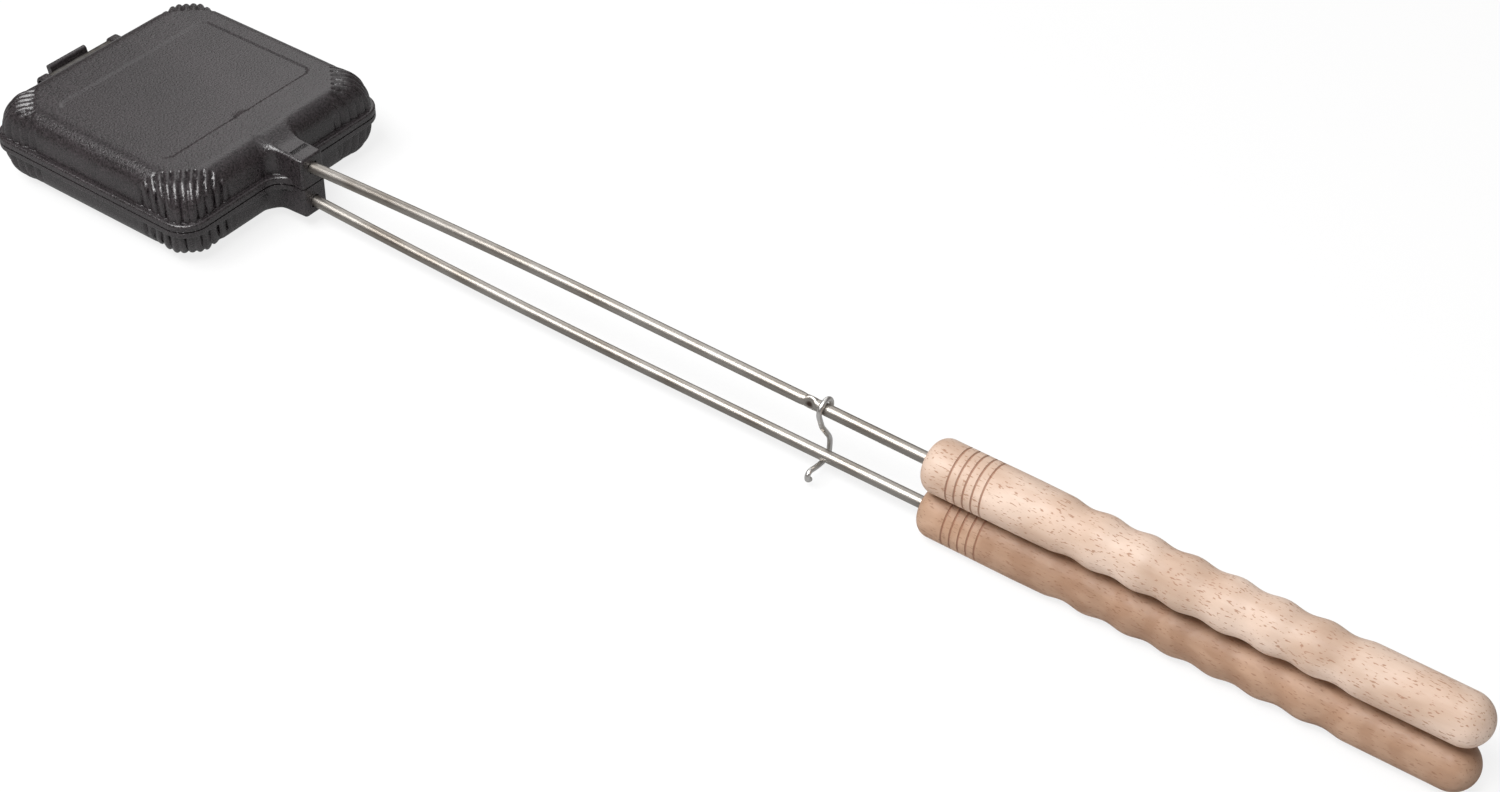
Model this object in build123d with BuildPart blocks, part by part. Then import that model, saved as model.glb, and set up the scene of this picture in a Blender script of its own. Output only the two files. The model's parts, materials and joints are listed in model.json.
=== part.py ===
from build123d import *

import os
from math import asin, cos, degrees, radians, sin, tan

os.makedirs("parts", exist_ok=True)

# A long-handled pie iron, closed and latched, lying flat. Millimetres, +X from the head to the
# handles, +Z up, origin on the ground under the middle of the whole object.

# ---- driving dimensions: head ----
head_width = 126.0  # across the rims, the same along X and Y
rim_corner = 12.0  # plan radius of the rim's corners
rim_height = 3.4  # from the seam plane to the rim's ledge
rim_round = 1.1  # rounding of the rim's outer edge
wall_inset = 2.2  # from the rim's edge to the wall above it
shell_height = 20.2  # from the seam plane to the flat plate
edge_radius = 11.5  # rounding between wall and plate
wall_draft = 0.6  # how far the wall leans in before the rounding starts
corner_reach = 65.0  # head centre to the diagonal line where the corner starts to fall away
corner_radius = 17.0  # quarter round of each cut-off corner
seam_gap = 0.3  # dark line between the closed halves

panel_length = 68.0  # recessed panel in the plate, along X
panel_width = 89.4
panel_offset = 1.0  # the panel's middle, ahead of the head's middle
panel_corner = 4.0
panel_depth = 0.7

rib_pitch = 3.4
rib_width = 2.2
rib_proud = 1.2  # how far a rib stands out of the corner
ribs_each_side = 6  # ribs on each side of a corner's middle rib

cavity_half = 54.0  # half width of the space for the bread, at the seam
cavity_corner = 12.0
cavity_depth = 14.8
cavity_taper = 8.0  # degrees
cavity_floor_radius = 4.0

# ---- driving dimensions: neck and rod socket ----
neck_reach = 76.8  # head centre to the socket's front face
neck_half = 6.6
neck_height = 15.0  # from the seam plane
neck_fillet = 10.0  # hollow curve between the neck and the front wall
neck_root = 60.0  # where the hollow curve runs out, just inside the wall
neck_round = 1.2
socket_depth = 18.0
socket_clearance = 0.05

# ---- driving dimensions: rods ----
rod_radius = 2.6
bow_reach = 235.0  # head centre to where the sprung rods are furthest apart
bow_rise = 12.3  # rod axis to seam plane there
bow_radius = 3800.0
tail_slope = 0.33  # degrees that the straight run to the handle closes in
crimp_reach = 341.6  # head centre to the pinched stop on the upper rod
crimp_length = 8.6
crimp_height = 6.6
crimp_thickness = 3.0
dimple_radius = 7.0
dimple_depth = 0.8

# ---- driving dimensions: handles ----
grip_reach = 394.2  # head centre to the handles' front face
grip_end = 624.5  # head centre to the handles' rear end
grip_radius = 11.25
grip_front_round = 5.6
grip_end_radius = 10.25
grip_bore_depth = 72.0
groove_first = 16.0  # from the handle's front face
groove_pitch = 3.7
groove_count = 5
groove_width = 0.9
groove_depth = 0.45
wave_start = 59.4  # from the handle's front face to the first crest
wave_pitch = 17.7
wave_count = 7
wave_crest = 11.05  # radius of the first crest
wave_fall = 0.1  # each crest is this much lower than the one before it
wave_depth = 0.95

# ---- driving dimensions: hinge at the far end ----
pin_reach = 69.5  # head centre back to the hinge pin
pin_rise = 5.0  # pin axis above the seam plane
pin_radius = 2.5
pin_head_round = 0.5
lug_radius = 4.4
lug_inner = 17.5  # middle of the head to a lug's inner face
lug_width = 5.8
hook_gap = 0.5  # between the pin and the hook round it
hook_thickness = 3.0
hook_tip_rise = 8.6  # above the seam plane
hook_lean = 0.6  # how far the tip leans out
hook_width = 22.0
hook_offset = -3.5  # the hook's middle, along Y
hook_root_drop = 9.0  # lowest point of its root on the wall

# ---- driving dimensions: latch ----
latch_reach = 348.0  # head centre to the wire hook
wire_radius = 0.95
wire_sides = 10  # the round wire is drawn with this many sides
eye_radius = 4.0  # wire centre to the upper rod's axis
keeper_radius = 4.4  # bend under the lower rod
keeper_side = 4.9  # how far behind the rod the wire passes
curl_radius = 1.7

# ---- worked out from them ----
hook_reach = pin_reach + pin_radius + hook_gap + hook_thickness + hook_lean
head_x = (hook_reach - grip_end) / 2
tail_angle = radians(tail_slope)
tail_reach = bow_reach + bow_radius * sin(tail_angle)
tail_rise = bow_rise - bow_radius * (1 - cos(tail_angle))
grip_rise = tail_rise - (grip_reach - tail_reach) * tan(tail_angle)
neck_angle = degrees(asin((bow_reach - neck_reach) / bow_radius))
seam_z = grip_rise + grip_radius
half_gap = seam_gap / 2
rim_half = head_width / 2
wall_half = rim_half - wall_inset
plate_half = wall_half - wall_draft - edge_radius
seam_plane = Plane(origin=(head_x, 0, seam_z))
side_plane = Plane(origin=(head_x, 0, seam_z), x_dir=(1, 0, 0), z_dir=(0, -1, 0))


def head_section(angle):
    """Upright plane through the head's middle; its x runs outward at this plan angle."""
    out = (cos(radians(angle)), sin(radians(angle)), 0)
    return Plane(origin=(head_x, 0, seam_z), x_dir=out, z_dir=(out[1], -out[0], 0))


def shell_form(proud):
    """The upper shell's outer form without its rim, grown by proud: two loaves and their corners."""
    top = shell_height + proud
    half = wall_half + proud
    with BuildPart() as form:
        for angle, mode in ((0, Mode.ADD), (90, Mode.INTERSECT)):
            with BuildSketch(head_section(angle)):
                with BuildLine():
                    floor = Line((0, half_gap), (half, half_gap))
                    wall = Line(floor @ 1, (half - wall_draft, top - edge_radius - proud))
                    edge = CenterArc(
                        (half - wall_draft - edge_radius - proud, top - edge_radius - proud),
                        edge_radius + proud,
                        0,
                        90,
                    )
                    Line(edge @ 1, (0, top))
                    mirror(about=Plane.YZ)
                make_face()
            extrude(amount=head_width, both=True, mode=mode)
        for angle in (45, 135):
            with BuildSketch(head_section(angle)):
                with BuildLine():
                    reach = corner_reach + corner_radius + proud
                    floor = Line((0, half_gap), (reach, half_gap))
                    wall = Line(floor @ 1, (reach, shell_height - corner_radius))
                    fall = CenterArc(
                        (corner_reach, shell_height - corner_radius),
                        corner_radius + proud,
                        0,
                        90,
                    )
                    Line(fall @ 1, (0, top))
                    mirror(about=Plane.YZ)
                make_face()
            extrude(amount=head_width, both=True, mode=Mode.INTERSECT)
    return form.part


# ---- parallel ribs over the four corners ----
crest_form = shell_form(rib_proud)
with BuildPart() as ribs:
    for corner in (45, 135, 225, 315):
        for number in range(-ribs_each_side, ribs_each_side + 1):
            with BuildSketch(head_section(corner).offset(number * rib_pitch)):
                with Locations((corner_reach, shell_height)):
                    Rectangle(30, shell_height - rim_height + 1, align=(Align.MIN, Align.MAX))
            extrude(amount=rib_width / 2, both=True)
    add(crest_form, mode=Mode.INTERSECT)

# ---- rim, neck and rod socket ----
with BuildPart() as rim:
    with BuildSketch(seam_plane.offset(half_gap)):
        RectangleRounded(head_width, head_width, rim_corner)
    extrude(amount=rim_height - half_gap)
    chamfer(rim.faces().sort_by(Axis.Z)[-1].edges(), length=rim_round)

with BuildPart() as neck:
    with BuildSketch(seam_plane.offset(half_gap)) as neck_plan:
        with Locations((neck_root, 0)):
            Rectangle(neck_reach - neck_root, 2 * neck_half, align=(Align.MIN, Align.CENTER))
            Rectangle(20, 2 * (neck_half + neck_fillet + 2), align=(Align.MAX, Align.CENTER))
        root_corners = neck_plan.vertices().filter_by(
            lambda v: abs(abs(v.Y) - neck_half) < 0.01 and v.X < head_x + neck_root + 1
        )
        fillet(root_corners, radius=neck_fillet)
    extrude(amount=neck_height - half_gap)
    front_edges = neck.edges().filter_by(Axis.Z).group_by(Axis.X)[-1]
    fillet(front_edges, radius=neck_round)
    fillet(neck.faces().sort_by(Axis.Z)[-1].edges(), radius=neck_round)

# ---- the space for the bread, and the panel in the plate ----
with BuildPart() as cavity:
    with BuildSketch(seam_plane):
        RectangleRounded(2 * cavity_half, 2 * cavity_half, cavity_corner)
    extrude(amount=cavity_depth, taper=cavity_taper)
    chamfer(cavity.faces().sort_by(Axis.Z)[-1].edges(), length=cavity_floor_radius)

with BuildPart() as panel:
    with BuildSketch(seam_plane.offset(shell_height - panel_depth)):
        with Locations((panel_offset, 0)):
            RectangleRounded(panel_length, panel_width, panel_corner)
    extrude(amount=2 * panel_depth)

# ---- upper rod: straight in its socket, sprung into a long bow, straight again to the handle ----
with BuildLine(side_plane) as upper_run:
    bow_top = Vector(head_x + bow_reach, 0, seam_z + bow_rise)
    rise = JernArc(bow_top, (-1, 0), bow_radius, neck_angle)
    fall = JernArc(bow_top, (1, 0), bow_radius, -tail_slope)
    socket_end = rise @ 1 + (rise % 1) * socket_depth
    Line(rise @ 1, socket_end)
    tail = Line(fall @ 1, fall @ 1 + (fall % 1) * (grip_reach + grip_bore_depth - tail_reach))

rod_start = Plane(origin=socket_end, z_dir=-(rise % 1))
with BuildPart() as plain_rod:
    with BuildSketch(rod_start):
        Circle(rod_radius)
    sweep(path=upper_run.wires()[0])

with BuildPart() as socket:
    with BuildSketch(rod_start):
        Circle(rod_radius + socket_clearance)
    extrude(amount=2 * socket_depth)

# ---- one half of the head, as the upper half ----
with BuildPart() as half_head:
    add(shell_form(0))
    add(ribs.part)
    add(rim.part)
    add(neck.part)
    add(cavity.part, mode=Mode.SUBTRACT)
    add(panel.part, mode=Mode.SUBTRACT)
    add(socket.part, mode=Mode.SUBTRACT)

# ---- upper shell: the half head with two lugs for the hinge pin ----
lug_outline_root = wall_half - 2
with BuildPart() as upper_shell:
    add(half_head.part)
    for side in (-1, 1):
        with BuildSketch(side_plane.offset(side * (lug_inner + lug_width / 2))):
            with Locations((-pin_reach, pin_rise)):
                Circle(lug_radius)
                Rectangle(
                    pin_reach - lug_outline_root,
                    2 * lug_radius,
                    align=(Align.MIN, Align.CENTER),
                )
        extrude(amount=lug_width / 2, both=True)
    with BuildSketch(side_plane):
        with Locations((-pin_reach, pin_rise)):
            Circle(pin_radius)
    extrude(amount=rim_half, both=True, mode=Mode.SUBTRACT)
upper_shell.part.label = "upper_shell"
export_step(upper_shell.part, "parts/upper_shell.step")

# ---- lower shell: the same half head turned over, with the hook for the hinge pin ----
hook_inner = pin_radius + hook_gap
hook_outer = hook_inner + hook_thickness
with BuildPart() as lower_shell:
    mirror(half_head.part, about=seam_plane)
    with BuildSketch(side_plane.offset(-hook_offset)):
        with BuildLine():
            inside = Line(
                (-pin_reach - hook_inner - hook_lean, hook_tip_rise - hook_thickness / 2),
                (-pin_reach - hook_inner, pin_rise),
            )
            cradle = CenterArc((-pin_reach, pin_rise), hook_inner, 180, 90)
            tongue = Polyline(
                cradle @ 1,
                (-pin_reach + hook_inner, pin_rise - hook_inner),
                (-rim_half - 1, -half_gap),
                (-wall_half + 2, -half_gap),
                (-wall_half + 2, -hook_root_drop),
                (-pin_reach, pin_rise - hook_outer),
            )
            back = CenterArc((-pin_reach, pin_rise), hook_outer, 180, 90)
            outside = Line(
                (-pin_reach - hook_outer, pin_rise),
                (-pin_reach - hook_outer - hook_lean, hook_tip_rise - hook_thickness / 2),
            )
            ThreePointArc(
                outside @ 1,
                (-pin_reach - hook_inner - hook_thickness / 2 - hook_lean, hook_tip_rise),
                inside @ 0,
            )
        make_face()
    extrude(amount=hook_width / 2, both=True)
lower_shell.part.label = "lower_shell"
export_step(lower_shell.part, "parts/lower_shell.step")

# ---- hinge pin, riveted over in the lugs ----
with BuildPart() as hinge_pin:
    with BuildSketch(side_plane):
        with Locations((-pin_reach, pin_rise)):
            Circle(pin_radius)
    extrude(amount=lug_inner + lug_width + pin_head_round, both=True)
    chamfer(hinge_pin.edges().filter_by(GeomType.CIRCLE), length=pin_head_round)
hinge_pin.part.label = "hinge_pin"
export_step(hinge_pin.part, "parts/hinge_pin.step")

# ---- upper rod with the pinched stop, and the plain lower rod ----
crimp_plane = Plane(
    origin=tail @ 0 + (tail % 0) * ((crimp_reach - tail_reach) / cos(tail_angle)),
    x_dir=tail % 0,
    z_dir=(0, -1, 0),
)
with BuildPart() as upper_rod:
    add(plain_rod.part)
    with BuildSketch(crimp_plane):
        Ellipse(crimp_length / 2, crimp_height / 2)
    extrude(amount=crimp_thickness / 2, both=True)
    with BuildSketch(Plane(origin=crimp_plane.origin, x_dir=tail % 0, z_dir=crimp_plane.y_dir)):
        with Locations((0, rod_radius - dimple_depth + dimple_radius)):
            Circle(dimple_radius)
        mirror(about=Plane.XZ)
    extrude(amount=crimp_height, both=True, mode=Mode.SUBTRACT)
upper_rod.part.label = "upper_rod"
export_step(upper_rod.part, "parts/upper_rod.step")

with BuildPart() as lower_rod:
    mirror(plain_rod.part, about=seam_plane)
lower_rod.part.label = "lower_rod"
export_step(lower_rod.part, "parts/lower_rod.step")

# ---- turned handle: grooves at the front, waves for the fingers, round end ----
handle_length = grip_end - grip_reach
grip_plane = Plane(
    origin=(head_x + grip_reach, 0, seam_z + grip_rise),
    x_dir=(1, 0, 0),
    z_dir=(0, -1, 0),
)
with BuildPart() as upper_handle:
    with BuildSketch(grip_plane):
        with BuildLine():
            front = Line((0, 0), (0, grip_radius - grip_front_round))
            nose = RadiusArc(front @ 1, (grip_front_round, grip_radius), grip_front_round)
            edge = Line(nose @ 1, (wave_start - wave_pitch / 2, grip_radius))
            edge = Line(edge @ 1, (wave_start, wave_crest))
            for wave in range(wave_count):
                hollow = (
                    wave_start + (wave + 0.5) * wave_pitch,
                    wave_crest - (wave + 0.5) * wave_fall - wave_depth,
                )
                crest = (
                    wave_start + (wave + 1) * wave_pitch,
                    wave_crest - (wave + 1) * wave_fall,
                )
                edge = ThreePointArc(edge @ 1, hollow, crest)
            edge = Line(edge @ 1, (handle_length - grip_end_radius, grip_end_radius))
            RadiusArc(edge @ 1, (handle_length, 0), grip_end_radius)
            Line((handle_length, 0), (0, 0))
        make_face()
    revolve(axis=Axis(grip_plane.origin, (1, 0, 0)))
    with BuildSketch(grip_plane):
        for groove in range(groove_count):
            with Locations((groove_first + groove * groove_pitch, grip_radius)):
                Rectangle(groove_width, 2 * groove_depth)
    revolve(axis=Axis(grip_plane.origin, (1, 0, 0)), mode=Mode.SUBTRACT)
    add(plain_rod.part, mode=Mode.SUBTRACT)
upper_handle.part.label = "upper_handle"
export_step(upper_handle.part, "parts/upper_handle.step")

with BuildPart() as lower_handle:
    mirror(upper_handle.part, about=seam_plane)
lower_handle.part.label = "lower_handle"
export_step(lower_handle.part, "parts/lower_handle.step")

# ---- wire latch: an open eye on the upper rod, a tail that hooks under the lower rod ----
latch_plane = Plane(
    origin=(head_x + latch_reach, 0, seam_z + tail_rise - (latch_reach - tail_reach) * tan(tail_angle)),
    x_dir=(0, 1, 0),
    z_dir=(1, 0, 0),
)
rod_spacing = 2 * (latch_plane.origin.Z - seam_z)
keeper_drop = rod_spacing + rod_radius + wire_radius + hook_gap
with BuildLine(latch_plane) as latch_run:
    eye = CenterArc((0, 0), eye_radius, -50, 250)
    tail = FilletPolyline(
        eye @ 1,
        eye @ 1 + (eye % 1) * 7.2,
        (keeper_side, -18.0),
        (keeper_side, keeper_radius - keeper_drop),
        radius=8,
    )
    keeper = JernArc(tail @ 1, (0, -1), keeper_radius, -90)
    arm = JernArc(keeper @ 1, (-1, 0), keeper_drop, -17)
    JernArc(arm @ 1, arm % 1, curl_radius, 200)
with BuildPart() as latch_hook:
    with BuildSketch(Plane(origin=eye @ 0, z_dir=eye % 0)):
        RegularPolygon(wire_radius, wire_sides)
    sweep(path=latch_run.wires()[0])
latch_hook.part.label = "latch_hook"
export_step(latch_hook.part, "parts/latch_hook.step")
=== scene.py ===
import json
from math import asin, cos, pi, radians, sin, tan

import bmesh
import bpy
import numpy as np
from mathutils import Matrix, Vector


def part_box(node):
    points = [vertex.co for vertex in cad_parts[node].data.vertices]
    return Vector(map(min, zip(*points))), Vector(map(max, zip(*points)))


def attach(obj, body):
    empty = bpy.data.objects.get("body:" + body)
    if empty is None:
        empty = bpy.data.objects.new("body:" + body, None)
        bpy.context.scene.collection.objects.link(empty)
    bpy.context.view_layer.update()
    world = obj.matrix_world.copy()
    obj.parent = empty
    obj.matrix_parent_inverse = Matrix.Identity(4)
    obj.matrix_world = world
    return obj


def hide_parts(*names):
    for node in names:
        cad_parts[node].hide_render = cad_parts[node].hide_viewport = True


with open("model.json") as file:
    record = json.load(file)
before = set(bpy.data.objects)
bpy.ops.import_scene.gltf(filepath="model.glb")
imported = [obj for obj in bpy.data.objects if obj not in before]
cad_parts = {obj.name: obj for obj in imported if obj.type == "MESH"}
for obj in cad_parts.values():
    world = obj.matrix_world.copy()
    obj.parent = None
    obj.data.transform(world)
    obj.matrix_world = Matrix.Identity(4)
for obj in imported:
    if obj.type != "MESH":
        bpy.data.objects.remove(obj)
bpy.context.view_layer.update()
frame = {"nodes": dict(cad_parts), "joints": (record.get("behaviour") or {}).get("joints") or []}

# Sizes in millimetres, in the head's own frame: x from the head's middle to the handles,
# z up from the seam between the shells. Meshes are turned into metres when they are made.

# ---- head ----
head_length = 124.4
head_width = 126.0
rim_corner = 12.0
rim_height = 3.4
rim_round = 1.1
wall_inset = 2.2
wall_draft = 0.6
shell_height = 20.2
edge_radius = 11.5
corner_reach = 64.6
corner_radius = 17.0
half_gap = 0.3
wall_blend = 1.2
panel_half = (34.0, 44.7)
panel_offset = 1.0
panel_corner = 4.0
panel_depth = 0.9
panel_edge = 0.12
rib_pitch = 3.4
rib_depth = 1.6
rib_proud = 0.55
rib_round = 0.985  # under 1, so that the valley between two ribs isn't a knife edge
rib_starts = (-0.3, 1.2)  # from the corner's plane outwards, over which the hollows deepen
rib_rises = (3.0, 9.0)  # the same for how far the ribs stand proud
rib_ends = (-0.3, 0.9)  # beside the last rib, over which the hollows fade
ribs_each_side = 6
cavity_inset = 9.0
cavity_corner = 12.0
cavity_depth = 14.8
cavity_round = 4.0
cavity_draft = tan(radians(8))
eye_depth = 40.0  # the skin is drawn along rays from a point this far under the seam
around_steps = 720
ring_steps = 128
inner_shares = (0.02, 0.2, 0.3)  # a few wide rings inside the panel, where the plate is flat
fine_from = 0.33
ray_limit = 1.02
rim_limit = 1.3

# ---- neck ----
neck_reach = 76.8
neck_half = 6.7
neck_height = 15.0
neck_slope = tan(radians(3))
neck_hollow = 6.0
rim_hollow = 9.0
neck_round = 1.6
neck_nose = 1.2
neck_root = 53.0
entry_radius = 3.2
entry_depth = 2.5
neck_joint = 71.0  # where the skin ends and the neck's own front part shows

# ---- hinge, rods, handles, latch ----
pin_reach = 69.5
pin_rise = 5.0
hook_edge = 0.6
hook_root = 1.5  # how far into the rim the hook is cut from the solid
hook_side = 30.0  # nothing of the hook lies further out than this
lug_edge = 0.7
lug_radius = 3.4
lug_middle = 21.2
lug_half_width = 2.6
rod_radius = 2.6
bow_reach = 235.0
bow_rise = 12.3
bow_radius = 3800.0
tail_angle = radians(0.33)
crimp_reach = 341.6
crimp_length = 8.6
crimp_half_height = 3.3
crimp_half_thickness = 1.45
grip_reach = 394.2
grip_end = 624.5
grip_radius = 11.25
grip_front_round = 6.0
grip_front_inset = 2.3
grip_end_radius = 10.25
groove_first = 16.0
groove_pitch = 3.7
groove_count = 5
groove_half = 0.4
groove_depth = 0.38
wave_start = 59.4
wave_pitch = 17.7
wave_count = 7
wave_crest = 11.05
wave_fall = 0.1
wave_depth = 1.1
latch_reach = 348.0
wire_radius = 1.12
eye_radius = 4.3
keeper_radius = 4.4
keeper_side = 4.9
curl_radius = 2.2

# ---- places, worked out from the frame ----
jaw = next(joint for joint in frame["joints"] if joint["name"] == "jaw_hinge")
lower_grip_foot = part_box("lower_handle")[0].z * 1000
upper_grip_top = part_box("upper_handle")[1].z * 1000
seam_z = (lower_grip_foot + upper_grip_top) / 2
head_x = jaw["pos_m"][0] * 1000 + pin_reach
tail_reach = bow_reach + bow_radius * sin(tail_angle)
tail_rise = bow_rise - bow_radius * (1 - cos(tail_angle))
grip_rise = tail_rise - (grip_reach - tail_reach) * tan(tail_angle)
neck_angle = asin((bow_reach - neck_reach) / bow_radius)

# ---- camera: the photograph's viewing angle ----
camera_from_head = Vector((739.3, -621.3, 640.9))
camera_target_from_head = Vector((312.4, -0.1, 0.0))
camera_roll = radians(1.93)
lens_mm = 59.7
sensor_mm = 36.0

# ---- studio: the floor's reach in metres, and how much of it glows ----
floor_reach = 6.0
floor_glow = 0.8
reflected_glow = 0.22


# ---------------------------------------------------------------- mesh helpers
def make_piece(name, points, faces, body, material, smooth=True, mirrored=False):
    """A mesh object from points in the head's frame; mirrored turns it over for the lower half."""
    places = np.array(points, float)
    if mirrored:
        places[:, 2] *= -1
        faces = [tuple(reversed(face)) for face in faces]
    places = (places + (head_x, 0, seam_z)) / 1000
    mesh = bpy.data.meshes.new(name)
    mesh.from_pydata(places.tolist(), [], [tuple(int(i) for i in face) for face in faces])
    shape = bmesh.new()
    shape.from_mesh(mesh)
    bmesh.ops.recalc_face_normals(shape, faces=shape.faces)
    shape.to_mesh(mesh)
    shape.free()
    mesh.polygons.foreach_set("use_smooth", [smooth] * len(mesh.polygons))
    mesh.set_sharp_from_angle(angle=radians(50))
    mesh.materials.append(material)
    piece = bpy.data.objects.new(name, mesh)
    bpy.context.collection.objects.link(piece)
    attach(piece, body)
    return piece


def grid_faces(rows, columns, first=0, closed=True):
    """Quads of a grid of points kept row by row; closed joins each row's end to its start."""
    faces = []
    last = columns if closed else columns - 1
    for row in range(rows - 1):
        for column in range(last):
            after = (column + 1) % columns
            here = first + row * columns
            above = here + columns
            faces.append((here + column, here + after, above + after, above + column))
    return faces


# ---------------------------------------------------------------- the shell's skin
def rounded_plan(x, y, half_x, half_y, corner):
    """Distance in plan to a rounded rectangle, negative inside."""
    out_x = np.abs(x) - (half_x - corner)
    out_y = np.abs(y) - (half_y - corner)
    outside = np.hypot(np.maximum(out_x, 0), np.maximum(out_y, 0))
    return outside + np.minimum(np.maximum(out_x, out_y), 0) - corner


def loaf(out, z, reach, radius):
    """Distance to a form whose wall at this reach rounds over to the plate."""
    middle = shell_height - radius
    lean = wall_draft * np.clip(1 - z / middle, 0, 1)
    over = out - (reach - radius) - lean
    up = z - middle
    outside = np.hypot(np.maximum(over, 0), np.maximum(up, 0))
    return outside + np.minimum(np.maximum(over, up), 0) - radius


def soft_max(a, b, width):
    """The larger of two values, with the change from one to the other spread over a width."""
    share = np.clip(0.5 + 0.5 * (a - b) / width, 0, 1)
    return b * (1 - share) + a * share + width * share * (1 - share)


def ramp(value, start, end):
    """A smooth rise from 0 at the start to 1 at the end."""
    share = np.clip((value - start) / (end - start), 0, 1)
    return share * share * (3 - 2 * share)


def hollow_join(a, b, radius):
    """Two forms joined with a hollow curve of this radius between them."""
    hollow = np.hypot(np.maximum(radius - a, 0), np.maximum(radius - b, 0))
    return np.maximum(radius, np.minimum(a, b)) - hollow


def rounded_meet(a, b, radius):
    """The part that two forms share, with the edge between them rounded over."""
    edge = np.hypot(np.maximum(radius + a, 0), np.maximum(radius + b, 0))
    return np.minimum(-radius, np.maximum(a, b)) + edge


def skin_distance(x, y, z):
    """Distance to the outer skin of a shell with its rim, ribs, neck root and panel, negative inside."""
    along_x = loaf(np.abs(x), z, head_length / 2 - wall_inset - wall_draft, edge_radius)
    along_y = loaf(np.abs(y), z, head_width / 2 - wall_inset - wall_draft, edge_radius)
    diagonal = (np.abs(x) + np.abs(y)) / np.sqrt(2)
    across = (np.abs(x) - np.abs(y)) / np.sqrt(2)
    corner = loaf(diagonal, z, corner_reach + corner_radius - wall_draft, corner_radius)
    form = soft_max(soft_max(along_x, along_y, wall_blend), corner, wall_blend)
    turn = 2 * np.abs(across / rib_pitch - np.round(across / rib_pitch))
    hollow = rib_depth * (1 - np.sqrt(1 - (rib_round * turn) ** 2))
    there = ramp(diagonal, corner_reach + rib_starts[0], corner_reach + rib_starts[1])
    proud = rib_proud * ramp(diagonal, corner_reach + rib_rises[0], corner_reach + rib_rises[1])
    edge = (ribs_each_side + 0.5) * rib_pitch
    beside = 1 - ramp(np.abs(across), edge + rib_ends[0], edge + rib_ends[1])
    form = form + there * beside * (hollow - proud)
    neck_plan = np.maximum(np.abs(y) - neck_half, neck_root - x)
    neck_top = z - neck_height - (neck_reach - x) * neck_slope
    form = hollow_join(form, rounded_meet(neck_plan, neck_top, neck_round), neck_hollow)
    form = np.maximum(form, z - shell_height)
    inside_panel = rounded_plan(x - panel_offset, y, *panel_half, panel_corner)
    floor = np.maximum(inside_panel, shell_height - panel_depth - z)
    form = soft_max(form, -floor, panel_edge)
    plan = rounded_plan(x, y, head_length / 2, head_width / 2, rim_corner)
    plan = hollow_join(plan, neck_plan, rim_hollow)
    rim = rounded_meet(plan, z - rim_height, rim_round)
    return np.maximum(np.minimum(form, rim), x - neck_joint)


def outline(half_x, half_y, corner, steps):
    """Points round a rounded rectangle, evenly spaced along it."""
    straight_x, straight_y, arc = 2 * (half_x - corner), 2 * (half_y - corner), corner * pi / 2
    lengths = [straight_y, arc, straight_x, arc, straight_y, arc, straight_x, arc]
    total = sum(lengths)
    points = []
    for step in range(steps):
        run = step * total / steps
        stretch = 0
        while run > lengths[stretch]:
            run -= lengths[stretch]
            stretch += 1
        side = stretch // 2
        if stretch % 2:
            turn = run / corner
            spot = (half_x - corner + corner * cos(turn), half_y - corner + corner * sin(turn))
            if side % 2:
                spot = (half_y - corner + corner * cos(turn), half_x - corner + corner * sin(turn))
        else:
            spot = (half_x, run - (half_y - corner))
            if side % 2:
                spot = (half_y, run - (half_x - corner))
        quarter = side * pi / 2
        points.append(
            (
                spot[0] * cos(quarter) - spot[1] * sin(quarter),
                spot[0] * sin(quarter) + spot[1] * cos(quarter),
            )
        )
    return np.array(points)


def surface_share(x, y, z, longest):
    """How far along the way out to x, y the skin lies at this height."""
    near, far = np.zeros_like(x), np.full_like(x, longest)
    for halving in range(30):
        middle = (near + far) / 2
        inside = skin_distance(x * middle, y * middle, np.full_like(x, z)) < 0
        near = np.where(inside, middle, near)
        far = np.where(inside, far, middle)
    return near


def skin_points():
    """Rings of points on the skin, found along rays, from the plate's middle down to the seam."""
    rim = outline(head_length / 2, head_width / 2, rim_corner, around_steps)
    rim = rim * surface_share(rim[:, 0], rim[:, 1], half_gap, rim_limit)[:, None]
    widen = (eye_depth + shell_height) / (eye_depth + half_gap)
    shares = np.concatenate([inner_shares, np.linspace(fine_from, 1, ring_steps)])
    target_x = np.outer(shares, rim[:, 0] * widen).ravel()
    target_y = np.outer(shares, rim[:, 1] * widen).ravel()
    rise = eye_depth + shell_height
    near = np.zeros_like(target_x)
    far = np.full_like(target_x, ray_limit)
    for halving in range(34):
        middle = (near + far) / 2
        inside = skin_distance(target_x * middle, target_y * middle, rise * middle - eye_depth) < 0
        near = np.where(inside, middle, near)
        far = np.where(inside, far, middle)
    points = np.stack([target_x * near, target_y * near, rise * near - eye_depth], 1)
    points[-around_steps:, 2] = half_gap
    return points, len(shares)


def cavity_loops():
    """Loops of the space for the bread, from the seam up to its floor."""
    steps = around_steps // 4
    inner = (head_length / 2 - cavity_inset, head_width / 2 - cavity_inset)
    wall_top = cavity_depth - cavity_round
    levels = [(half_gap, 0.0), (wall_top, wall_top * cavity_draft)]
    for turn in np.linspace(0.2, 1, 5) * pi / 2:
        levels.append(
            (
                wall_top + cavity_round * sin(turn),
                wall_top * cavity_draft + cavity_round * (1 - cos(turn)),
            )
        )
    loops = [
        [(x, y, rise) for x, y in outline(inner[0] - inset, inner[1] - inset, cavity_corner - inset, steps)]
        for rise, inset in levels
    ]
    return np.array(loops).reshape(-1, 3), len(levels), steps


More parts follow.
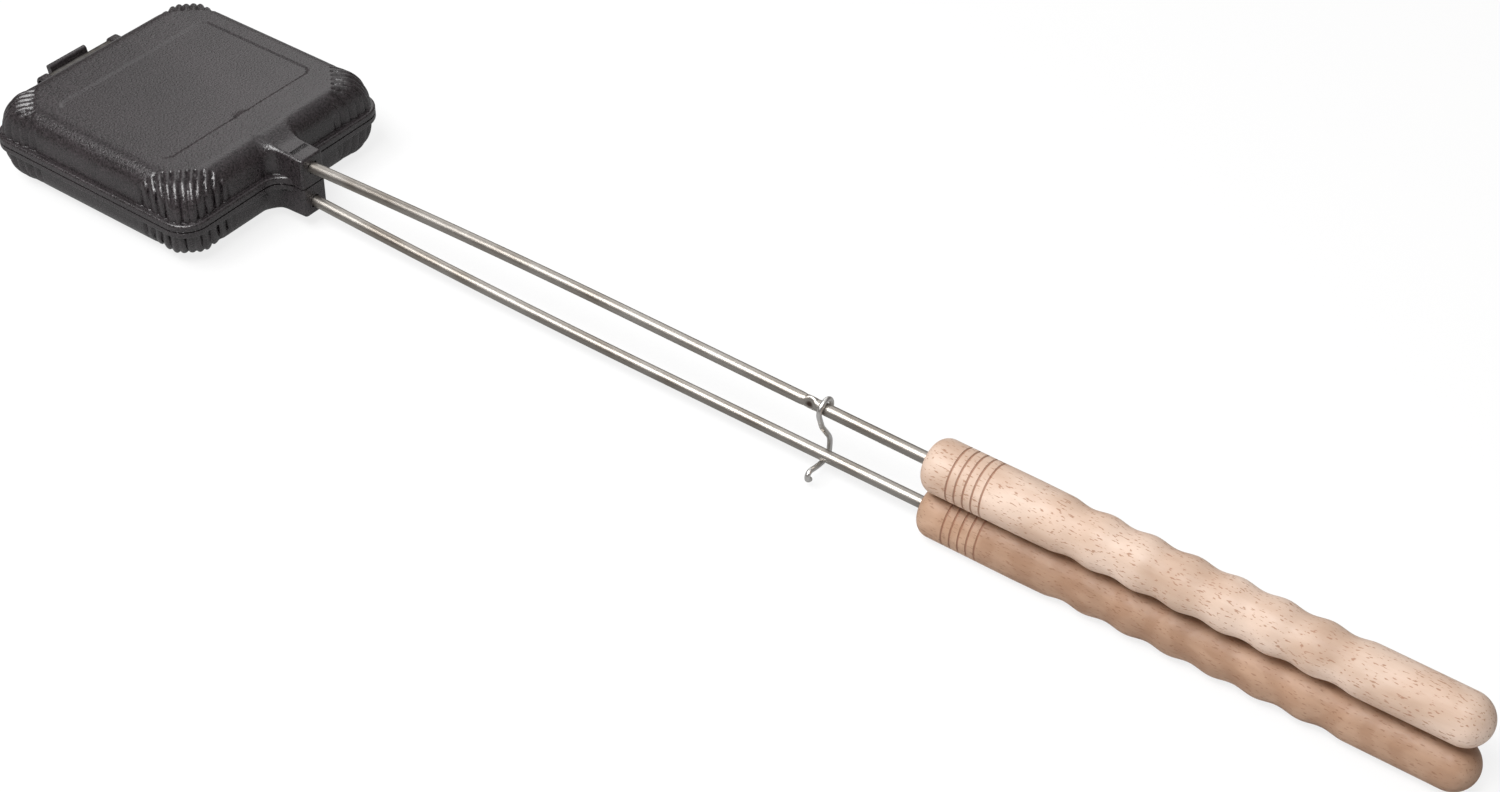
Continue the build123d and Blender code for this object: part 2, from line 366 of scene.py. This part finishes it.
def neck_points():
    """Rings of points across the neck's own part, from inside its root to the gap round the rod."""
    turns = np.linspace(0, 1, 7) * pi / 2
    stations = [(neck_joint - 3, 0.0), (neck_joint + 2, 0.0)]
    for turn in turns:
        stations.append((neck_reach - neck_nose * (1 - sin(turn)), neck_nose * (1 - cos(turn))))
    rings = []
    for x, pulled in stations:
        top = neck_height + (neck_reach - x) * neck_slope - pulled
        side = neck_half - pulled
        half = [(x, side, half_gap), (x, side, top - neck_round)]
        for turn in turns[1:]:
            across = side - neck_round * (1 - cos(turn))
            half.append((x, across, top - neck_round * (1 - sin(turn))))
        foot = [(x, side * share, half_gap) for share in (-0.5, 0.0, 0.5)]
        rings.append(half + [(x, -y, z) for _, y, z in reversed(half)] + foot)
    ring = np.array(rings[-1])
    middle = rod_axis(neck_reach)[0]
    turn = np.arctan2(ring[:, 2] - middle, ring[:, 1])
    for x in (neck_reach, neck_reach - entry_depth):
        across = entry_radius * np.cos(turn)
        up = middle + entry_radius * np.sin(turn)
        rings.append(np.stack([np.full_like(turn, x), across, up], 1))
    return np.array([np.array(ring) for ring in rings])


def add_shell(body, name, material, mirrored):
    """A whole shell: skin, seam face, the space for the bread, and the neck's own part."""
    skin, rings = skin_points()
    faces = [tuple(reversed(range(around_steps)))]
    faces += grid_faces(rings, around_steps)
    cavity, levels, steps = cavity_loops()
    first = len(skin)
    inner = [tuple(reversed(face)) for face in grid_faces(levels, steps, first)]
    faces += [tuple(reversed(face)) for face in inner]
    floor = first + (levels - 1) * steps
    faces.append(tuple(floor + step for step in range(steps)))
    rim_first = first - around_steps
    for step in range(steps):
        after = (step + 1) % steps
        outer = rim_first + 4 * step
        faces.append((outer, rim_first + 4 * after, first + after, first + step))
    neck = neck_points()
    neck_first = first + len(cavity)
    rings_along, ring = neck.shape[:2]
    faces += [tuple(reversed(face)) for face in grid_faces(rings_along, ring, neck_first)]
    front = neck_first + (rings_along - 1) * ring
    faces.append(tuple(front + step for step in range(ring)))
    points = np.concatenate([skin, cavity, neck.reshape(-1, 3)])
    piece = make_piece(name, points, faces, body, material, mirrored=mirrored)
    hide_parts(name.replace("_skin", ""))
    return piece


def soften(piece, width):
    """Round over a piece's sharp edges by this width."""
    bevel = piece.modifiers.new("edges", "BEVEL")
    bevel.width = width / 1000
    bevel.segments = 3
    bevel.angle_limit = radians(40)


def add_hook(material):
    """The hook, cut from the lower shell's solid beyond the rim, with softened edges."""
    mesh = frame["nodes"]["lower_shell"].data.copy()
    shape = bmesh.new()
    shape.from_mesh(mesh)
    bmesh.ops.remove_doubles(shape, verts=shape.verts, dist=0.00001)
    cut = (head_x - head_length / 2 + hook_root) / 1000
    geometry = shape.verts[:] + shape.edges[:] + shape.faces[:]
    plane = {"plane_co": (cut, 0, 0), "plane_no": (1, 0, 0)}
    bmesh.ops.bisect_plane(shape, geom=geometry, clear_outer=True, **plane)
    lowest = (seam_z - shell_height / 2) / 1000
    beside = [v for v in shape.verts if abs(v.co.y) > hook_side / 1000 or v.co.z < lowest]
    bmesh.ops.delete(shape, geom=beside, context="VERTS")
    shape.to_mesh(mesh)
    shape.free()
    mesh.materials.clear()
    mesh.materials.append(material)
    piece = bpy.data.objects.new("hinge_hook", mesh)
    bpy.context.collection.objects.link(piece)
    soften(piece, hook_edge)
    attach(piece, "lower_half")


def add_lug(name, middle, material):
    """One ear round the hinge pin, with its root in the wall."""
    root = head_length / 2 - wall_inset - 2
    turns = np.linspace(pi / 2, 3 * pi / 2, 25)
    side = []
    for turn in turns:
        side.append((-pin_reach + lug_radius * cos(turn), pin_rise + lug_radius * sin(turn)))
    side += [(-root, pin_rise - lug_radius), (-root, pin_rise + lug_radius)]
    points = [(x, middle + lug_half_width, z) for x, z in side]
    points += [(x, middle - lug_half_width, z) for x, z in side]
    count = len(side)
    faces = [tuple(range(count)), tuple(reversed(range(count, 2 * count)))]
    for corner in range(count):
        after = (corner + 1) % count
        faces.append((corner, count + corner, count + after, after))
    piece = make_piece(name, points, faces, "upper_half", material, smooth=False)
    soften(piece, lug_edge)


# ---------------------------------------------------------------- rods
def rod_axis(reach):
    """Rise of the upper rod's axis over the seam, and its slope, at a distance from the head."""
    if reach < neck_reach:
        rise = bow_rise - bow_radius * (1 - cos(neck_angle))
        return rise - (neck_reach - reach) * tan(neck_angle), neck_angle
    if reach < tail_reach:
        turn = asin((bow_reach - reach) / bow_radius)
        return bow_rise - bow_radius * (1 - cos(turn)), turn
    return tail_rise - (reach - tail_reach) * tan(tail_angle), -tail_angle


def add_rod(name, node, body, material, crimped, mirrored):
    """A bowed rod, and on the upper one the pinched stop, whose pinched sides are marked for painted shade.
    """
    sides = 48
    start, end = neck_reach - 12, grip_reach + 6
    plain = np.linspace(start, end, 90)
    pinched = crimp_reach + np.linspace(-0.5, 0.5, 41) * (crimp_length + 3)
    reaches = np.sort(np.concatenate([plain, pinched])) if crimped else plain
    points = []
    pinch_shade = []
    for reach in reaches:
        rise, slope = rod_axis(reach)
        away = (reach - crimp_reach) / (crimp_length / 2)
        bulge = crimp_half_height * np.sqrt(max(0.0, 1 - away**2)) if crimped else 0
        squeeze = np.exp(-((away / 0.62) ** 2)) if crimped else 0
        half_height = max(rod_radius, bulge)
        half_width = rod_radius - (rod_radius - crimp_half_thickness) * squeeze
        for side in range(sides):
            turn = 2 * pi * side / sides
            lift = half_height * sin(turn)
            place = (reach - lift * sin(slope), half_width * cos(turn), rise + lift * cos(slope))
            points.append(place)
            # painted shade: strongest on the flattened sides at the middle of the pinch
            pinch_shade.append(float(squeeze * abs(cos(turn)) ** 3))
    faces = [tuple(reversed(face)) for face in grid_faces(len(reaches), sides)]
    piece = make_piece(name, points, faces, body, material, mirrored=mirrored)
    attribute = piece.data.attributes.new("pinch_shade", "FLOAT", "POINT")
    attribute.data.foreach_set("value", pinch_shade)
    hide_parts(node)


# ---------------------------------------------------------------- handles
def grip_profile():
    """Triples of distance from the handle's front face, radius, and how burnt the wood is."""
    length = grip_end - grip_reach
    profile = []
    for turn in np.linspace(0, pi / 2, 14):
        back = grip_front_inset + grip_front_round * (1 - cos(turn))
        profile.append((back, grip_radius - grip_front_round * (1 - sin(turn)), 0.0))
    for groove in range(groove_count):
        middle = groove_first + groove * groove_pitch
        for offset in np.linspace(-1.5, 1.5, 21):
            away = abs(offset) / groove_half
            cut = groove_depth * np.sqrt(max(0.0, 1 - away**2))
            profile.append((middle + offset, grip_radius - cut, float(np.clip(1.5 - away, 0, 1))))
    profile.append((wave_start - 0.75 * wave_pitch, grip_radius, 0.0))
    for step in range(14 * wave_count + 1):
        along = step / 14
        hollow = wave_depth * (1 - cos(2 * pi * along)) / 2
        crest = wave_crest - along * wave_fall
        profile.append((wave_start + along * wave_pitch, crest - hollow, 0.0))
    for turn in np.linspace(0, pi / 2, 22)[:-1]:
        radius = grip_end_radius * cos(turn)
        profile.append((length - grip_end_radius * (1 - sin(turn)), radius, 0.0))
    return profile


def add_handle(name, node, body, material, mirrored):
    """A turned handle, open at its front round the rod, with its burnt grooves marked and painted shade
    marked round the rod's opening.
    """
    sides = 72
    profile = grip_profile()
    entry = rod_radius + 0.15
    # painted shade: the opening round the rod is marked fully dark and the front face next to it partly
    # dark
    profile = [(grip_front_inset + 2, entry, 1.0), (grip_front_inset, entry, 0.6)] + profile
    points = []
    burn_and_shade_values = []
    for along, radius, burn_and_shade in profile:
        for side in range(sides):
            turn = 2 * pi * side / sides
            place = (grip_reach + along, radius * cos(turn), grip_rise + radius * sin(turn))
            points.append(place)
            burn_and_shade_values.append(burn_and_shade)
    faces = [tuple(reversed(face)) for face in grid_faces(len(profile), sides)]
    tip = (len(profile) - 1) * sides
    faces.append(tuple(tip + side for side in range(sides)))
    piece = make_piece(name, points, faces, body, material, mirrored=mirrored)
    # the mark carries both the burnt grooves and the painted shade round the rod
    attribute = piece.data.attributes.new("burn_and_shade", "FLOAT", "POINT")
    attribute.data.foreach_set("value", burn_and_shade_values)
    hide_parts(node)


# ---------------------------------------------------------------- latch
def arc(start, heading, radius, sweep, steps):
    """Points along a bend in the latch's own plane, and the heading at its end."""
    side = 1 if sweep > 0 else -1
    centre = (start[0] - side * radius * sin(heading), start[1] + side * radius * cos(heading))
    points = []
    for step in range(1, steps + 1):
        turn = heading + sweep * step / steps
        points.append((centre[0] + side * radius * sin(turn), centre[1] - side * radius * cos(turn)))
    return points, heading + sweep


def latch_path():
    """Points along the wire, across and up from the upper rod's axis."""
    drop = 2 * rod_axis(latch_reach)[0] + rod_radius + wire_radius + 0.5
    eye = [
        (eye_radius * cos(radians(turn)), eye_radius * sin(radians(turn)))
        for turn in np.linspace(-50, 200, 40)
    ]
    heading = radians(200 + 90)
    reach = (eye[-1][0] + 7.2 * cos(heading), eye[-1][1] + 7.2 * sin(heading))
    knee = (keeper_side, -18.0)
    foot = (keeper_side, keeper_radius - drop)
    path = eye + smooth_corners([eye[-1], reach, knee, foot], 8.0)
    keeper, heading = arc(path[-1], -pi / 2, keeper_radius, -pi / 2, 16)
    arm, heading = arc(keeper[-1], heading, drop, radians(-17), 12)
    curl, heading = arc(arm[-1], heading, curl_radius, radians(200), 20)
    return eased(path + keeper + arm + curl)


def eased(path):
    """The same run in even short steps, with its bends eased into each other."""
    corners = np.array(path)
    lengths = np.concatenate([[0], np.cumsum(np.hypot(*np.diff(corners, axis=0).T))])
    steps = np.linspace(0, lengths[-1], 260)
    even = np.stack([np.interp(steps, lengths, corners[:, side]) for side in (0, 1)], 1)
    for smoothing in range(14):
        even[1:-1] = even[1:-1] / 2 + (even[:-2] + even[2:]) / 4
    return even.tolist()


def smooth_corners(corners, radius):
    """A run through corner points with each inner corner rounded off."""
    path = []
    for before, corner, after in zip(corners, corners[1:], corners[2:]):
        back = (Vector(before) - Vector(corner)).normalized()
        ahead = (Vector(after) - Vector(corner)).normalized()
        half_turn = back.angle(ahead) / 2
        length = radius / tan(half_turn)
        centre = Vector(corner) + (back + ahead).normalized() * radius / sin(half_turn)
        start = Vector(corner) + back * length - centre
        end = Vector(corner) + ahead * length - centre
        turn = start.angle_signed(end)
        for step in range(13):
            spot = centre + Matrix.Rotation(-turn * step / 12, 2) @ start
            path.append((spot.x, spot.y))
    path.append(corners[-1])
    return path


def add_latch(name, node, material):
    """The bent wire, as a mesh swept along its path."""
    curve = bpy.data.curves.new(name, "CURVE")
    curve.dimensions = "3D"
    curve.bevel_depth = wire_radius / 1000
    curve.bevel_resolution = 6
    curve.use_fill_caps = True
    path = latch_path()
    spline = curve.splines.new("POLY")
    spline.points.add(len(path) - 1)
    rise = rod_axis(latch_reach)[0]
    for point, (across, up) in zip(spline.points, path):
        place = Vector((head_x + latch_reach, across, seam_z + rise + up)) / 1000
        point.co = (*place, 1)
    curve.materials.append(material)
    bent = bpy.data.objects.new(name, curve)
    bpy.context.collection.objects.link(bent)
    mesh = bpy.data.meshes.new_from_object(bent.evaluated_get(bpy.context.evaluated_depsgraph_get()))
    mesh.polygons.foreach_set("use_smooth", [True] * len(mesh.polygons))
    bpy.data.objects.remove(bent)
    piece = bpy.data.objects.new(name, mesh)
    bpy.context.collection.objects.link(piece)
    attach(piece, "latch")
    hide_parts(node)


# ---------------------------------------------------------------- materials
class Painter:
    """Nodes of one material, with short calls for the ones used here."""

    def __init__(self, name):
        self.material = bpy.data.materials.new(name)
        self.material.use_nodes = True
        self.tree = self.material.node_tree
        self.shader = self.tree.nodes["Principled BSDF"]

    def add(self, kind, **values):
        node = self.tree.nodes.new(kind)
        for key, value in values.items():
            if key in node.inputs:
                node.inputs[key].default_value = value
            else:
                setattr(node, key, value)
        return node

    def link(self, source, target):
        self.tree.links.new(source, target)

    def spots(self, stretch, scale, detail, rough=0.55):
        """A noise over the object, stretched by its three factors."""
        place = self.add("ShaderNodeTexCoord")
        mapping = self.add("ShaderNodeMapping")
        mapping.inputs["Scale"].default_value = stretch
        noise = self.add("ShaderNodeTexNoise", Scale=scale, Detail=detail, Roughness=rough)
        self.link(place.outputs["Object"], mapping.inputs["Vector"])
        self.link(mapping.outputs["Vector"], noise.inputs["Vector"])
        return noise.outputs["Fac"]

    def shades(self, source, stops):
        """Colours along a source value, as pairs of position and colour."""
        scale = self.add("ShaderNodeValToRGB")
        band = scale.color_ramp
        while len(band.elements) < len(stops):
            band.elements.new(0.5)
        for element, (position, colour) in zip(band.elements, stops):
            element.position = position
            element.color = (*colour, 1)
        self.link(source, scale.inputs["Fac"])
        return scale.outputs["Color"]

    def levels(self, source, low, high, start=0.3, end=0.7):
        """A source between start and end, stretched to run from low to high."""
        span = self.add("ShaderNodeMapRange")
        span.inputs["From Min"].default_value = start
        span.inputs["From Max"].default_value = end
        span.inputs["To Min"].default_value = low
        span.inputs["To Max"].default_value = high
        self.link(source, span.inputs["Value"])
        return span.outputs["Result"]

    def mix(self, share, first, second, kind="MIX"):
        """Two colours mixed by a share; each of the three is a value or a socket to link."""
        node = self.add("ShaderNodeMix", data_type="RGBA", blend_type=kind)
        sockets = (node.inputs["Factor"], node.inputs[6], node.inputs[7])
        for socket, value in zip(sockets, (share, first, second)):
            if isinstance(value, bpy.types.NodeSocket):
                self.link(value, socket)
            elif isinstance(value, tuple):
                socket.default_value = (*value, 1)
            else:
                socket.default_value = value
        return node.outputs[2]

    def bump(self, source, strength, distance, base=None):
        node = self.add("ShaderNodeBump", Strength=strength, Distance=distance)
        self.link(source, node.inputs["Height"])
        if base:
            self.link(base, node.inputs["Normal"])
        return node.outputs["Normal"]


def cast_iron():
    """Dark cast iron with a fine sand grain and a satin sheen."""
    paint = Painter("cast_iron_skin")
    grain = paint.spots((1, 1, 1), 1000, 3)
    cloud = paint.spots((1, 1, 1), 30, 3)
    tone = paint.shades(cloud, [(0.3, (0.015, 0.0125, 0.0135)), (0.7, (0.024, 0.02, 0.0215))])
    speck = paint.shades(grain, [(0.35, (0.5, 0.5, 0.5)), (0.65, (1.6, 1.5, 1.55))])
    paint.link(paint.mix(1.0, tone, speck, "MULTIPLY"), paint.shader.inputs["Base Color"])
    paint.link(paint.levels(grain, 0.22, 0.38), paint.shader.inputs["Roughness"])
    paint.shader.inputs["Specular IOR Level"].default_value = 0.85
    fine = paint.bump(grain, 0.4, 0.0005)
    paint.link(paint.bump(cloud, 0.1, 0.001, fine), paint.shader.inputs["Normal"])
    return paint.material


def bright_steel(name, dark, light, low, high):
    """Drawn steel, streaked along X, with painted shade in dark brown where the piece is marked as pinched.
    """
    paint = Painter(name)
    streak = paint.spots((0.015, 1, 1), 260, 3)
    patch = paint.spots((0.5, 1, 1), 60, 4)
    tone = paint.shades(streak, [(0.3, dark), (0.7, light)])
    stain = paint.shades(patch, [(0.38, (0.74, 0.7, 0.66)), (0.6, (1.0, 1.0, 1.0))])
    metal = paint.mix(1.0, tone, stain, "MULTIPLY")
    # painted shade: dark brown laid on the pinched stop's flattened sides
    pinch_shade = paint.add("ShaderNodeAttribute", attribute_name="pinch_shade")
    darkening = paint.levels(pinch_shade.outputs["Fac"], 0.0, 0.9, 0.55, 0.9)
    metal = paint.mix(darkening, metal, (0.06, 0.03, 0.018))
    paint.link(metal, paint.shader.inputs["Base Color"])
    paint.shader.inputs["Metallic"].default_value = 1.0
    paint.link(paint.levels(patch, low, high), paint.shader.inputs["Roughness"])
    return paint.material


def beech(name, pale, deep, fleck_colour, fleck_share, rings):
    """Bare beech with its figure and flecks along X, burnt brown in the marked grooves and with painted
    shade in the same brown round the marked rod opening.
    """
    paint = Painter(name)
    figure = paint.spots((0.12, 1, 1), 110, 5)
    pores = paint.spots((0.26, 1, 1), 1500, 1)
    cloud = paint.spots((0.5, 1, 1), 45, 4)
    tone = paint.shades(figure, [(0.32, deep), (0.6, pale)])
    shade = paint.shades(cloud, [(0.35, (0.84, 0.8, 0.76)), (0.62, (1.04, 1.03, 1.02))])
    wood = paint.mix(1.0, tone, shade, "MULTIPLY")
    place = paint.add("ShaderNodeTexCoord")
    mapping = paint.add("ShaderNodeMapping")
    mapping.inputs["Scale"].default_value = (0.3, 1, 1)
    mapping.inputs["Rotation"].default_value = (0.2, 0.05, 0.12)
    band = paint.add("ShaderNodeTexWave", Scale=rings, Distortion=7.0, Detail=3.0)
    band.inputs["Detail Scale"].default_value = 1.4
    paint.link(place.outputs["Object"], mapping.inputs["Vector"])
    paint.link(mapping.outputs["Vector"], band.inputs["Vector"])
    ring = paint.shades(band.outputs["Fac"], [(0.2, (0.86, 0.8, 0.75)), (0.7, (1.0, 1.0, 1.0))])
    wood = paint.mix(0.75, wood, paint.mix(1.0, wood, ring, "MULTIPLY"))
    flecks = paint.levels(pores, 0.0, fleck_share, 0.625, 0.68)
    wood = paint.mix(flecks, wood, fleck_colour)
    # burnt grooves, and painted shade round the rod's opening, both in this brown
    burn_and_shade = paint.add("ShaderNodeAttribute", attribute_name="burn_and_shade")
    darkening = paint.levels(burn_and_shade.outputs["Fac"], 0.0, 0.8, 0.2, 1.0)
    wood = paint.mix(darkening, wood, (0.26, 0.12, 0.07))
    paint.link(wood, paint.shader.inputs["Base Color"])
    paint.link(paint.levels(pores, 0.48, 0.62), paint.shader.inputs["Roughness"])
    paint.link(paint.bump(pores, 0.15, 0.0003), paint.shader.inputs["Normal"])
    return paint.material


# ---------------------------------------------------------------- camera and studio
def add_camera():
    """The camera where the photograph was taken from, with its slight roll."""
    data = bpy.data.cameras.new("camera")
    data.lens = lens_mm
    data.sensor_width = sensor_mm
    data.clip_end = 20
    camera = bpy.data.objects.new("camera", data)
    head = Vector((head_x, 0, seam_z))
    place = (head + camera_from_head) / 1000
    target = (head + camera_target_from_head) / 1000
    aim = (target - place).to_track_quat("-Z", "Y").to_matrix()
    turned = aim @ Matrix.Rotation(camera_roll, 3, "Z")
    camera.matrix_world = Matrix.Translation(place) @ turned.to_4x4()
    bpy.context.collection.objects.link(camera)
    bpy.context.scene.camera = camera


def add_floor():
    """A pale floor that keeps the shadow: white to the camera, dimmer in reflections."""
    mesh = bpy.data.meshes.new("floor")
    corners = [(x, y, 0) for x, y in ((-1, -1), (1, -1), (1, 1), (-1, 1))]
    corners = [(x * floor_reach, y * floor_reach, z) for x, y, z in corners]
    mesh.from_pydata(corners, [], [(0, 1, 2, 3)])
    floor = bpy.data.objects.new("floor", mesh)
    bpy.context.collection.objects.link(floor)
    material = bpy.data.materials.new("floor")
    material.use_nodes = True
    nodes, links = material.node_tree.nodes, material.node_tree.links
    nodes.clear()
    out = nodes.new("ShaderNodeOutputMaterial")
    mix = nodes.new("ShaderNodeMixShader")
    paper = nodes.new("ShaderNodeBsdfDiffuse")
    paper.inputs["Color"].default_value = (0.85, 0.85, 0.85, 1)
    glow = nodes.new("ShaderNodeEmission")
    path = nodes.new("ShaderNodeLightPath")
    seen = nodes.new("ShaderNodeMath")
    seen.operation = "MAXIMUM"
    through = nodes.new("ShaderNodeMath")
    through.operation = "MAXIMUM"
    share = nodes.new("ShaderNodeMath")
    share.operation = "MULTIPLY"
    share.inputs[1].default_value = floor_glow
    reflected = nodes.new("ShaderNodeMapRange")
    reflected.inputs["To Min"].default_value = reflected_glow
    reflected.inputs["To Max"].default_value = 1.0
    links.new(path.outputs["Is Camera Ray"], reflected.inputs["Value"])
    links.new(reflected.outputs["Result"], glow.inputs["Strength"])
    links.new(path.outputs["Is Camera Ray"], seen.inputs[0])
    links.new(path.outputs["Is Glossy Ray"], seen.inputs[1])
    links.new(seen.outputs[0], through.inputs[0])
    links.new(path.outputs["Is Transmission Ray"], through.inputs[1])
    links.new(through.outputs[0], share.inputs[0])
    links.new(share.outputs[0], mix.inputs["Fac"])
    links.new(paper.outputs["BSDF"], mix.inputs[1])
    links.new(glow.outputs["Emission"], mix.inputs[2])
    links.new(mix.outputs["Shader"], out.inputs["Surface"])
    mesh.materials.append(material)


def add_lamp(name, place, target, size, power):
    """A round softbox, with its places and size in metres and its power in watts."""
    data = bpy.data.lights.new(name, "AREA")
    data.shape = "DISK"
    data.size = size
    data.energy = power
    lamp = bpy.data.objects.new(name, data)
    lamp.location = place
    aim = Vector(target) - Vector(place)
    lamp.rotation_euler = aim.to_track_quat("-Z", "Y").to_euler()
    bpy.context.collection.objects.link(lamp)


def add_world():
    """A white room, darker toward the horizon, so that metal has something to reflect."""
    world = bpy.data.worlds.new("studio")
    bpy.context.scene.world = world
    world.use_nodes = True
    nodes, links = world.node_tree.nodes, world.node_tree.links
    place = nodes.new("ShaderNodeTexCoord")
    split = nodes.new("ShaderNodeSeparateXYZ")
    band = nodes.new("ShaderNodeValToRGB")
    rises = band.color_ramp.elements
    rises[0].position, rises[0].color = 0.0, (0.16, 0.14, 0.13, 1)
    rises[1].position, rises[1].color = 1.0, (1, 1, 1, 1)
    low = rises.new(0.62)
    low.color = (0.22, 0.21, 0.21, 1)
    links.new(place.outputs["Generated"], split.inputs["Vector"])
    links.new(split.outputs["Z"], band.inputs["Fac"])
    links.new(band.outputs["Color"], nodes["Background"].inputs["Color"])
    nodes["Background"].inputs["Strength"].default_value = 0.75


# ---------------------------------------------------------------- the object
iron = cast_iron()
rod_metal = bright_steel("rod_steel_drawn", (0.42, 0.395, 0.365), (0.58, 0.55, 0.51), 0.34, 0.46)
wire_metal = bright_steel("latch_wire_bright", (0.82, 0.81, 0.79), (0.95, 0.94, 0.92), 0.26, 0.36)
pin_metal = bright_steel("pin_steel_dark", (0.1, 0.095, 0.09), (0.2, 0.19, 0.18), 0.4, 0.55)
pale_wood = beech("pale_beech_grain", (0.66, 0.52, 0.43), (0.58, 0.43, 0.34), (0.3, 0.14, 0.075), 0.75, 22)
tan_wood = beech("tan_beech_grain", (0.44, 0.285, 0.195), (0.35, 0.215, 0.14), (0.2, 0.09, 0.045), 0.5, 60)

add_shell("upper_half", "upper_shell_skin", iron, False)
add_shell("lower_half", "lower_shell_skin", iron, True)
add_hook(iron)
add_lug("hinge_lug_left", -lug_middle, iron)
add_lug("hinge_lug_right", lug_middle, iron)
add_rod("upper_rod_drawn", "upper_rod", "upper_half", rod_metal, True, False)
add_rod("lower_rod_drawn", "lower_rod", "lower_half", rod_metal, False, True)
add_handle("upper_handle_turned", "upper_handle", "upper_half", pale_wood, False)
add_handle("lower_handle_turned", "lower_handle", "lower_half", tan_wood, True)
add_latch("latch_hook_bent", "latch_hook", wire_metal)
pin = frame["nodes"]["hinge_pin"]
pin.data.materials.clear()
pin.data.materials.append(pin_metal)

add_camera()
add_world()
add_floor()
add_lamp("key", (-0.5, -0.8, 1.5), (-0.1, 0, 0), 1.1, 22)
add_lamp("above_camera", (0.2, -0.75, 1.3), (-0.2, 0, 0), 0.5, 12)
add_lamp("back", (-0.9, 1.1, 1.0), (-0.1, 0, 0), 1.2, 4)

bpy.context.scene.view_settings.view_transform = "Standard"
